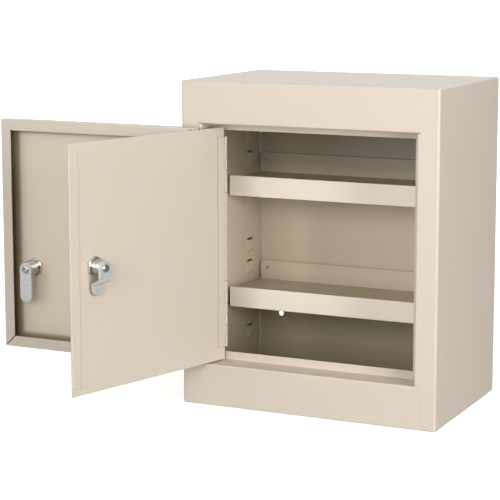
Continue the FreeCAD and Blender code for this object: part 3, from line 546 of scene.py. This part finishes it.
def slit_tree():
    """Geometry nodes of a row of slits: a thin dark almond of painted shade on each of the points that the tree
    is given.
    """
    tree, sockets, given = new_geometry("lance_slits", {
        "Points": "Geometry", "Length": "Float", "Height": "Float", "Depth": "Float", "Paint": "Material"})
    disc = add(tree, "GeometryNodeMeshCylinder", {"Vertices": 20, "Radius": 0.5, "Depth": given["Depth"]})
    size = add(tree, "ShaderNodeCombineXYZ", {"X": given["Height"], "Y": given["Length"], "Z": 1.0})
    almond = add(tree, "GeometryNodeTransform", {
        "Geometry": disc.outputs["Mesh"], "Rotation": (0, math.pi / 2, 0), "Scale": size.outputs[0]})
    row = add(tree, "GeometryNodeInstanceOnPoints", {
        "Points": given["Points"], "Instance": almond.outputs[0]})
    end_geometry(tree, row.outputs[0], given["Paint"])
    return tree, sockets


def grown(tree, sockets, values, points=()):
    """The plain mesh that a node tree makes with these inputs, on these points where it takes any."""
    seeds = bpy.data.meshes.new("holder")
    seeds.from_pydata(points, (), ())
    holder = bpy.data.objects.new("holder", seeds)
    bpy.context.scene.collection.objects.link(holder)
    modifier = holder.modifiers.new("nodes", "NODES")
    modifier.node_group = tree
    for name, value in values.items():
        modifier[sockets[name]] = value
    graph = bpy.context.evaluated_depsgraph_get()
    mesh = bpy.data.meshes.new_from_object(holder.evaluated_get(graph))
    holder.modifiers.remove(modifier)
    bpy.data.objects.remove(holder)
    return mesh


# Stage


def lay_floor(studio):
    """A wide floor just under the cabinet, which the camera sees but which doesn't light the cabinet."""
    shape = bmesh.new()
    bmesh.ops.create_grid(shape, x_segments=FLOOR_CELLS, y_segments=FLOOR_CELLS, size=FLOOR_HALF)
    mesh = bpy.data.meshes.new("studio_floor")
    shape.to_mesh(mesh)
    shape.free()
    mesh.materials.append(studio_paper(studio))
    mesh.transform(Matrix.Translation((0, 0, -FLOOR_DROP)))
    floor = bpy.data.objects.new("studio_floor", mesh)
    bpy.context.scene.collection.objects.link(floor)
    floor.visible_diffuse = False
    floor.visible_glossy = False


def soft_light(name, power, side, azimuth, elevation):
    """A square white light on a circle round the target; azimuth 0 is in front, and 90 on the right."""
    lamp = bpy.data.lights.new(name, "AREA")
    lamp.energy = power
    lamp.size = side
    turn, rise = math.radians(azimuth), math.radians(elevation)
    away = Vector((math.sin(turn) * math.cos(rise), -math.cos(turn) * math.cos(rise), math.sin(rise)))
    thing = bpy.data.objects.new(name, lamp)
    thing.location = LIGHT_TARGET + away * LIGHT_DISTANCE
    thing.rotation_euler = (-away).to_track_quat("-Z", "Y").to_euler()
    bpy.context.scene.collection.objects.link(thing)


def studio_room(studio):
    """A white backdrop, ceiling, wall and floor as they light the cabinet, and plain white to the camera."""
    world = bpy.data.worlds.new("studio_room")
    world.use_nodes = True
    tree = world.node_tree
    tree.nodes.clear()
    direction = add(tree, "ShaderNodeTexCoord").outputs["Generated"]
    strength = None
    for name, ramps in ROOM_LIGHTS.items():
        share = add(tree, "ShaderNodeMath", {
            "Value": reached(tree, direction, ramps), "Value_001": getattr(studio, name)},
            operation="MULTIPLY").outputs[0]
        strength = share if strength is None else add(
            tree, "ShaderNodeMath", {"Value": strength, "Value_001": share}, operation="ADD").outputs[0]
    seen = add(tree, "ShaderNodeLightPath").outputs["Is Camera Ray"]
    strength = add(tree, "ShaderNodeMath", {"Value": strength, "Value_001": seen}, operation="MAXIMUM")
    light = add(tree, "ShaderNodeBackground", {"Color": (1, 1, 1, 1), "Strength": strength.outputs[0]})
    add(tree, "ShaderNodeOutputWorld", {"Surface": light.outputs[0]})
    bpy.context.scene.world = world


def stand_camera(scene):
    """The camera in front on the right, at the angle of the photograph."""
    yaw, pitch = math.radians(CAMERA_YAW), math.radians(CAMERA_PITCH)
    right = Vector((math.cos(yaw), math.sin(yaw), 0))
    back = Vector((math.sin(yaw) * math.cos(pitch), -math.cos(yaw) * math.cos(pitch), math.sin(pitch)))
    up = back.cross(right)
    lens = bpy.data.cameras.new("front_right_camera")
    lens.sensor_width = CAMERA_SENSOR
    lens.lens = CAMERA_LENS
    lens.shift_x, lens.shift_y = CAMERA_SHIFT
    camera = bpy.data.objects.new("front_right_camera", lens)
    turn = Matrix((right, up, back)).transposed().to_4x4()
    camera.matrix_world = Matrix.Translation(CAMERA_PLACE) @ turn
    scene.collection.objects.link(camera)
    scene.camera = camera


# Operators


class PaintBox(bpy.types.Operator):
    """Coats the sides, top, bottom and back, thinner on their inner faces with painted light and shade by height,
    and the shelf standards likewise
    """

    bl_idname = "cabinet.paint_box"
    bl_label = "Paint the box"

    def execute(self, context):
        paint = context.scene.cabinet_paint
        sheets = powder_coat("satin_powder_coat_on_box", paint, paint.coat_colour, BOX_INSIDE)
        for node in BOX_SHEETS:
            wear(node, sheets)
        wear("back_panel", powder_coat("satin_powder_coat_on_back", paint, paint.coat_colour, BACK_INSIDE))
        lining = powder_coat("powder_coat_on_standards", paint, paint.coat_colour, STANDARD_INSIDE)
        for node in STANDARDS:
            wear(node, lining)
        return {"FINISHED"}


class PaintShelves(bpy.types.Operator):
    """Coats the shelves: fully, with painted light, on their front lips; thinner, with painted light and shade by
    height, behind them; and dark with painted shade along the upstands' tops
    """

    bl_idname = "cabinet.paint_shelves"
    bl_label = "Paint the shelves"

    def execute(self, context):
        paint = context.scene.cabinet_paint
        for node in SHELVES:
            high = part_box(node)[1]
            upstand_shade_line = (
                ("Y", *(high.y - before for before in UPSTAND_SHADE_BEFORE)),
                ("Z", *(high.z - below for below in UPSTAND_SHADE_BELOW)),
            )
            wear(node, powder_coat(
                "satin_powder_coat_on_" + node, paint, paint.painted_light_lip_colour, BEHIND_SHELF_LIP,
                edge_share=1.0, painted_shade_edges=upstand_shade_line))
        return {"FINISHED"}


class PaintDoors(bpy.types.Operator):
    """Coats both doors, with painted shade under the outer door's flange and painted light on the rest of its
    inner face, and their hinge leaves, with painted gap shade along their edges
    """

    bl_idname = "cabinet.paint_doors"
    bl_label = "Paint the doors"

    def execute(self, context):
        paint = context.scene.cabinet_paint
        wear("inner_door_panel", powder_coat("satin_powder_coat_on_inner_door", paint, paint.coat_colour))
        # Painted shade under the flange on the pan's inner face, painted light clear of it.
        wear("outer_door_pan", powder_coat(
            "satin_powder_coat_on_outer_door", paint, paint.coat_colour,
            hollow=inward_ramps("outer_door_pan", "YXZ", SHEET_GAUGE / 3, SHEET_GAUGE),
            open_to=inward_ramps("outer_door_pan", "XZ", PAN_SHADE_FULL, PAN_SHADE_END)))
        # Painted shade: every edge of the hinge leaves is dark, as gap shade.
        gap_shaded_hinges = powder_coat(
            "satin_powder_coat_on_hinges", paint, paint.coat_colour, edge_tone=paint.painted_gap_shade_colour, edge_share=1.0)
        for node in HINGE_LEAVES:
            wear(node, gap_shaded_hinges)
        return {"FINISHED"}


class PlateLocks(bpy.types.Operator):
    """Plates the cam locks and bares the hinge pins"""

    bl_idname = "cabinet.plate_locks"
    bl_label = "Plate the locks"

    def execute(self, context):
        plating = context.scene.cabinet_plating
        nickel = plated_metal(
            "bright_nickel_plate", plating.nickel_colour, smooth=0.10, rough=0.22,
            mark_size=plating.scratch_size)
        zinc = plated_metal(
            "tumbled_zinc_plate", plating.zinc_colour, smooth=0.30, rough=0.46,
            mark_size=plating.scratch_size, stretch=8, bare=0.45, rim=0.8 * MM, mottle=0.62)
        wire = plated_metal(
            "drawn_steel_wire", plating.wire_colour, smooth=0.25, rough=0.40,
            mark_size=plating.scratch_size / 2, stretch=30)
        for lock in LOCKS:
            for part in NICKEL_LOCK_PARTS:
                wear(lock + "_lock_" + part, nickel)
            wear(lock + "_lock_cam", zinc)
        for node in HINGE_PINS:
            wear(node, wire)
        return {"FINISHED"}


class FillCorners(bpy.types.Operator):
    """Fills the seam in each rear corner with paint"""

    bl_idname = "cabinet.fill_corners"
    bl_label = "Fill the rear corners"

    def execute(self, context):
        seams = context.scene.cabinet_seams
        paint = context.scene.cabinet_paint
        # The seams take the inside's painted light and shade by height.
        coat = powder_coat("powder_coat_in_seams", paint, paint.coat_colour, REAR_HALF)
        back_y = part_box("back_panel")[0].y
        for node, (side, hand) in zip(STANDARDS, HANDS):
            low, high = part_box(node)
            mesh = bead_mesh(
                hand * STANDARD_FACE_X, back_y, low.z, high.z, seams.bead_radius, seams.bead_segments)
            piece(side + "_corner_seam", mesh, coat, "cabinet")
        return {"FINISHED"}


class BridgeMitre(bpy.types.Operator):
    """Fills the upper mitre at the outer door's free edge with paint"""

    bl_idname = "cabinet.bridge_mitre"
    bl_label = "Bridge the upper mitre"

    def execute(self, context):
        paint = context.scene.cabinet_paint
        coat = powder_coat("powder_coat_in_mitre", paint, paint.coat_colour, edge_tone=paint.coat_colour)
        low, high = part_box("outer_door_pan")
        start, end, gap = SHEET_GAUGE, PAN_FLANGE, MITRE_GAP
        outline = [(low.x + across, high.z - down) for across, down in (
            (start, start + gap), (start, start), (start + gap, start),
            (end, end - gap), (end, end), (end - gap, end))]
        mesh = prism_mesh([[(x, y, z) for x, z in outline] for y in (low.y, low.y + SHEET_GAUGE)])
        piece("outer_mitre_fill", mesh, coat, "outer_door")
        return {"FINISHED"}


class OpenLances(bpy.types.Operator):
    """Lays a dark almond of painted shade in the slit above each free lance of the shelf standards"""

    bl_idname = "cabinet.open_lances"
    bl_label = "Open the free lances"

    def execute(self, context):
        seams = context.scene.cabinet_seams
        paint = context.scene.cabinet_paint
        # Painted shade: a dark tone laid in the slits, where only shade is.
        dark = powder_coat(
            "sheared_edge_in_lance_slits", paint, paint.painted_slit_shade_colour, edge_tone=paint.painted_slit_shade_colour)
        tree, sockets = slit_tree()
        heights = [LOWEST_LANCE + LANCE_PITCH * step + seams.slit_height / 2 for step in FREE_LANCE_STEPS]
        for side, hand in HANDS:
            wall_x = hand * (STANDARD_FACE_X - SLIT_DEPTH / 2)
            mesh = grown(tree, sockets, {
                "Length": seams.slit_length, "Height": seams.slit_height, "Depth": SLIT_DEPTH, "Paint": dark},
                [(wall_x, LANCE_Y, height) for height in heights])
            if not mesh.polygons:
                raise RuntimeError("no slit was laid on the " + side)
            piece(side + "_lance_slits", mesh, dark, "cabinet")
        return {"FINISHED"}


class CutThreads(bpy.types.Operator):
    """Rolls the thread on each lock barrel between its nut and its cam"""

    bl_idname = "cabinet.cut_threads"
    bl_label = "Cut the barrel threads"

    def execute(self, context):
        seams = context.scene.cabinet_seams
        metal = bpy.data.materials["bright_nickel_plate"]
        tree, sockets = thread_tree()
        joints = {joint["name"]: joint for joint in frame["joints"]}
        for lock, (length, seat) in LOCKS.items():
            joint = joints[lock + "_lock_turn"]
            origin, axis = Vector(joint["pos_m"]), Vector(joint["axis"]).normalized()
            nut = [Vector(v.co) for v in frame["nodes"][lock + "_lock_nut"].data.vertices]
            middle = sum(nut, Vector()) / len(nut)
            along = axis if (middle - origin).dot(axis) > 0 else -axis
            mesh = grown(tree, sockets, {
                "Radius": BARREL_RADIUS, "Pitch": seams.thread_pitch, "Height": seams.thread_height,
                "Turns": (length - seat - 2 * seams.thread_height) / seams.thread_pitch,
                "Place": origin + along * (seat + seams.thread_height),
                "Tilt": Vector(along.to_track_quat("Z", "Y").to_euler()), "Metal": metal})
            if not mesh.polygons:
                raise RuntimeError("no thread was made on the " + lock + " lock")
            piece(lock + "_lock_thread", mesh, metal, lock + "_door")
        return {"FINISHED"}


class SetStudio(bpy.types.Operator):
    """Lays the floor, hangs the soft lights and stands the camera"""

    bl_idname = "cabinet.set_studio"
    bl_label = "Set the studio"

    def execute(self, context):
        studio = context.scene.cabinet_studio
        lay_floor(studio)
        for name, (side, azimuth, elevation) in SOFT_LIGHTS.items():
            soft_light(name + "_softbox", getattr(studio, name + "_power"), side, azimuth, elevation)
        studio_room(studio)
        view = context.scene.view_settings
        view.view_transform = "Standard"
        view.look = "None"
        stand_camera(context.scene)
        return {"FINISHED"}


class CabinetPanel(bpy.types.Panel):
    """Lists the steps that finish the cabinet, with their settings"""

    bl_idname = "VIEW3D_PT_cabinet_finish"
    bl_label = "Medicine Cabinet"
    bl_space_type = "VIEW_3D"
    bl_region_type = "UI"
    bl_category = "Cabinet"

    def draw(self, context):
        layout = self.layout
        for operator in OPERATORS:
            layout.operator(operator.bl_idname)
        for pointer, group in SETTINGS:
            box = layout.box()
            for name in group.__annotations__:
                box.prop(getattr(context.scene, pointer), name)


OPERATORS = (
    PaintBox, PaintShelves, PaintDoors, PlateLocks, FillCorners, BridgeMitre, OpenLances, CutThreads, SetStudio)
SETTINGS = (
    ("cabinet_paint", PaintSettings),
    ("cabinet_plating", PlatingSettings),
    ("cabinet_seams", SeamSettings),
    ("cabinet_studio", StudioSettings),
)


def register():
    for pointer, group in SETTINGS:
        bpy.utils.register_class(group)
        setattr(bpy.types.Scene, pointer, bpy.props.PointerProperty(type=group))
    for operator in OPERATORS:
        bpy.utils.register_class(operator)
    bpy.utils.register_class(CabinetPanel)


def unregister():
    bpy.utils.unregister_class(CabinetPanel)
    for operator in reversed(OPERATORS):
        bpy.utils.unregister_class(operator)
    for pointer, group in reversed(SETTINGS):
        delattr(bpy.types.Scene, pointer)
        bpy.utils.unregister_class(group)


def main():
    register()
    bpy.ops.cabinet.paint_box()
    bpy.ops.cabinet.paint_shelves()
    bpy.ops.cabinet.paint_doors()
    bpy.ops.cabinet.plate_locks()
    bpy.ops.cabinet.fill_corners()
    bpy.ops.cabinet.bridge_mitre()
    bpy.ops.cabinet.open_lances()
    bpy.ops.cabinet.cut_threads()
    bpy.ops.cabinet.set_studio()


if __name__ == "__main__":
    main()
